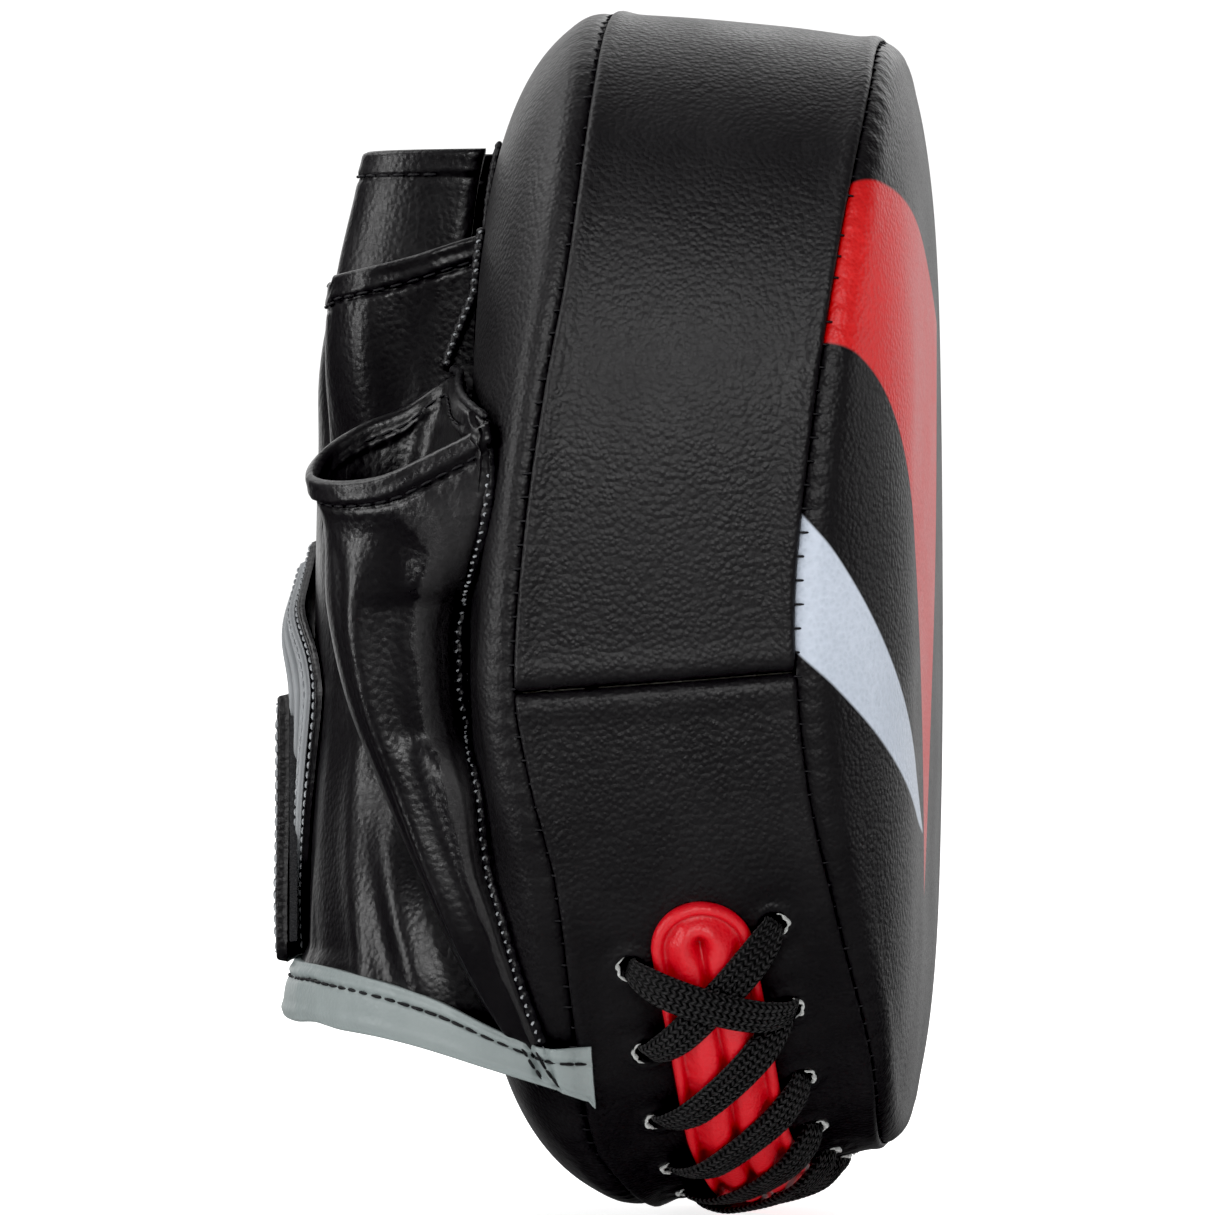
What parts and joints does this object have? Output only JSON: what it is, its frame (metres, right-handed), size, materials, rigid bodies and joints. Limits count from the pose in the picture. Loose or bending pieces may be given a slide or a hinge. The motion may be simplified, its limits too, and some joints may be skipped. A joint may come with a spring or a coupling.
{
  "type": "boxing focus mitt",
  "caption": "Left-hand boxing focus mitt: padded curved striking pad with a laced edge band, and an open-finger glove with thumb stall, bound cuff and hook-and-loop wrist strap.",
  "frame": {"origin": "under the middle of the mitt standing on its wrist end, at the lowest point of the bounding box", "axes": "+Z to the finger end, -Y out of the striking face, +Y to the glove on the back, thumb on the -X side"},
  "size_m": [0.182, 0.1228, 0.2256],
  "materials": {
    "pad_leather": "satin fine-grained",
    "glove_leather": "semi-gloss creased",
    "red_leather": "semi-gloss padded",
    "grey_leather": "semi-gloss",
    "lace_braid": "flat braid",
    "lining": "matt knitted",
    "loop_pile": "matt loop pile",
    "hook_tape": "matt hook tape",
    "foam": "matt closed-cell foam",
    "board": "matt fibre board"
  },
  "bodies": {
    "pad": {"face_panel": "pad_leather", "back_panel": "pad_leather", "gusset_upper": "pad_leather", "gusset_lower": "pad_leather", "foam_face": "foam", "foam_core": "foam", "stiffener_board": "board", "foam_back": "foam", "tongue": "red_leather", "tongue_piping_front": "red_leather", "tongue_piping_back": "red_leather", "lace": "lace_braid", "cuff_panel": "glove_leather", "cuff_binding": "grey_leather", "hand_shell": "glove_leather", "stall_index": "glove_leather", "hem_index": "glove_leather", "stall_middle": "glove_leather", "hem_middle": "glove_leather", "stall_ring": "glove_leather", "hem_ring": "glove_leather", "stall_little": "glove_leather", "hem_little": "glove_leather", "thumb_stall": "glove_leather", "hem_thumb": "glove_leather", "palm_lining": "lining", "palm_ball_foam": "foam", "palm_ball_cover": "glove_leather", "closure_base": "glove_leather", "loop_patch": "loop_pile", "strap_anchor": "glove_leather"},
    "strap_root": {"strap_root": "glove_leather"},
    "strap_tip": {"strap_tip": "glove_leather", "hook_patch": "hook_tape"}
  },
  "joints": [
    {"name": "strap_peel", "type": "hinge", "parent": "pad", "child": "strap_root", "pos_m": [0.04147, 0.05382, 0.07278], "axis": [0, 0, -1], "range_deg": [0, 95]},
    {"name": "strap_bend", "type": "hinge", "parent": "strap_root", "child": "strap_tip", "pos_m": [0.01027, 0.06119, 0.07278], "axis": [0, 0, -1], "range_deg": [0, 60]}
  ]
}
